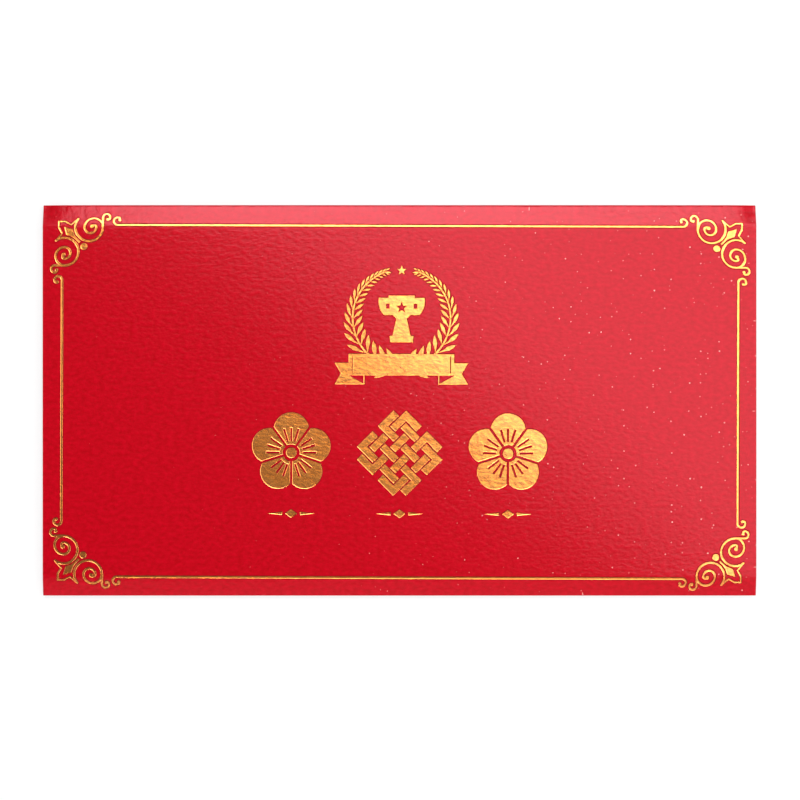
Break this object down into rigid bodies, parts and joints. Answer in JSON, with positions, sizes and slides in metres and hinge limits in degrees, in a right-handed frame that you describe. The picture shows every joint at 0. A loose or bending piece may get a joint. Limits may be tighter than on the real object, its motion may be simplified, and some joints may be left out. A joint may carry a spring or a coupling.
{
  "type": "red envelope",
  "caption": "Flat landscape envelope of red card with a gold foil border, scroll corners, a laurel and cup emblem and a row of foil motifs; the closing flap folds behind the back.",
  "frame": {"origin": "under the middle of the outline, on the plane of the closing flap's outer face that it lies on", "axes": "+X along the width, +Y towards the fold of the closing flap, +Z out of the printed face"},
  "size_m": [0.1826, 0.1, 0.0026],
  "materials": {
    "red_card": "satin",
    "glue": "satin",
    "gold_foil": "satin"
  },
  "bodies": {
    "envelope": {"front_panel": "red_card", "back_panel": "red_card", "bottom_fold": "red_card", "left_fold": "red_card", "right_fold": "red_card", "top_fold": "red_card", "left_side_flap": "red_card", "right_side_flap": "red_card", "left_glue_line": "glue", "right_glue_line": "glue", "top_border_line": "gold_foil", "left_border_line": "gold_foil", "bottom_border_line": "gold_foil", "right_border_line": "gold_foil", "bottom_left_corner_ornament": "gold_foil", "bottom_right_corner_ornament": "gold_foil", "top_right_corner_ornament": "gold_foil", "top_left_corner_ornament": "gold_foil", "ribbon_foil": "gold_foil", "left_laurel_branch": "gold_foil", "right_laurel_branch": "gold_foil", "star_foil": "gold_foil", "cup_foil": "gold_foil", "knot_foil": "gold_foil", "left_blossom_foil": "gold_foil", "right_blossom_foil": "gold_foil", "left_accent_foil": "gold_foil", "middle_accent_foil": "gold_foil", "right_accent_foil": "gold_foil"},
    "flap": {"closing_flap": "red_card"}
  },
  "joints": [
    {"name": "flap_hinge", "type": "hinge", "parent": "envelope", "child": "flap", "pos_m": [0, 0.04872, 0.00128], "axis": [1, 0, 0], "range_deg": [0, 180], "deforming": ["top_fold"]}
  ]
}
